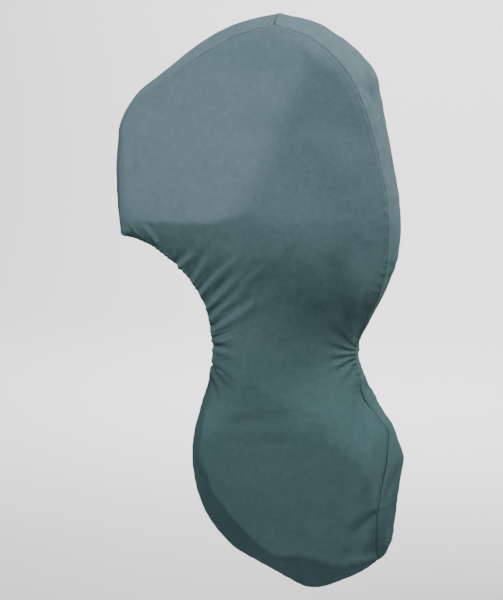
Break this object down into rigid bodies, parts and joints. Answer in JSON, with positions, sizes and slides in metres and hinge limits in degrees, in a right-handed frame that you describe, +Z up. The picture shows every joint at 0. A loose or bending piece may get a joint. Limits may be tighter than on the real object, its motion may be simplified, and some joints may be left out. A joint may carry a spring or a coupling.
{
  "type": "outboard motor cover",
  "caption": "Full-length fitted cloth cover for an outboard motor, sewn from side panels and gusset bands, drawn in at the waist, with a gathered opening at the front.",
  "frame": {"origin": "under the cloth at the crown of the cover, beside its cross seam, where the motor's cowl carries it", "axes": "+Z up, +X aft, away from the boat, +Y to starboard"},
  "size_m": [0.8982, 0.555, 1.809],
  "materials": {
    "panel_cloth": "matte coated polyester, slate teal",
    "band_cloth": "matte coated polyester, slate teal"
  },
  "bodies": {
    "root": {"side_panel_port": "panel_cloth", "side_panel_starboard": "panel_cloth", "upper_band_forward": "band_cloth", "upper_band_aft": "band_cloth", "lower_band_aft": "band_cloth"}
  },
  "joints": []
}
